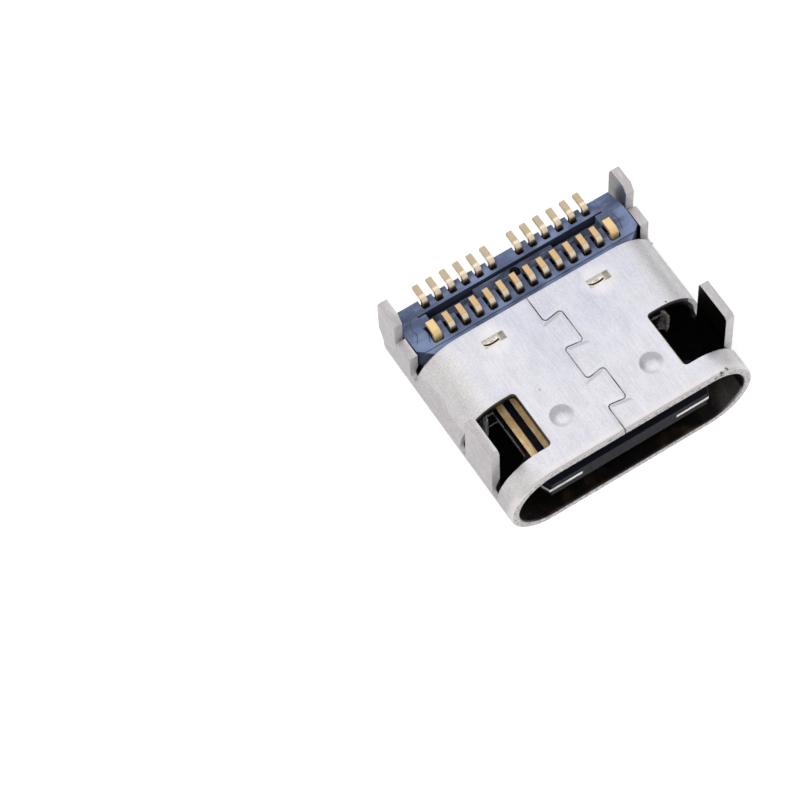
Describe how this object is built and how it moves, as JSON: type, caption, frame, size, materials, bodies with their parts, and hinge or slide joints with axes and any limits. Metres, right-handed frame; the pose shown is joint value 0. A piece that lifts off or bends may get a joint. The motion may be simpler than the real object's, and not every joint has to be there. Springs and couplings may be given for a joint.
{
  "type": "usb-c socket",
  "caption": "Board-mounted reversible data and power socket: folded stadium shell with four solder tabs, moulded tongue and two rows of gilt solder tails.",
  "frame": {"origin": "bottom centre of the bounding box, on the outer face of the shell's flat back wall", "axes": "+X across the mouth, +Y from the mouth to the rear, +Z towards the circuit board"},
  "size_m": [0.009, 0.0078, 0.004],
  "materials": {
    "shell_plating": "satin plated sheet with fine lengthwise grain",
    "housing_resin": "moulded slate-blue high-temperature resin",
    "inner_block_resin": "spark-textured darker resin",
    "rear_block_resin": "moulded slate-blue high-temperature resin",
    "plate_steel": "plated steel with gilt solder tails",
    "ring_steel": "bright plated sheet",
    "contact_gilt": "gilt copper alloy strip"
  },
  "bodies": {
    "root": {"shell": "shell_plating", "housing": "housing_resin", "inner_block": "inner_block_resin", "rear_block": "rear_block_resin", "mid_plate": "plate_steel", "ground_ring": "ring_steel", "contact_a1": "contact_gilt", "contact_a2": "contact_gilt", "contact_a3": "contact_gilt", "contact_a4": "contact_gilt", "contact_a5": "contact_gilt", "contact_a6": "contact_gilt", "contact_a7": "contact_gilt", "contact_a8": "contact_gilt", "contact_a9": "contact_gilt", "contact_a10": "contact_gilt", "contact_a11": "contact_gilt", "contact_a12": "contact_gilt", "contact_b1": "contact_gilt", "contact_b2": "contact_gilt", "contact_b3": "contact_gilt", "contact_b4": "contact_gilt", "contact_b5": "contact_gilt", "contact_b6": "contact_gilt", "contact_b7": "contact_gilt", "contact_b8": "contact_gilt", "contact_b9": "contact_gilt", "contact_b10": "contact_gilt", "contact_b11": "contact_gilt", "contact_b12": "contact_gilt"}
  },
  "joints": []
}
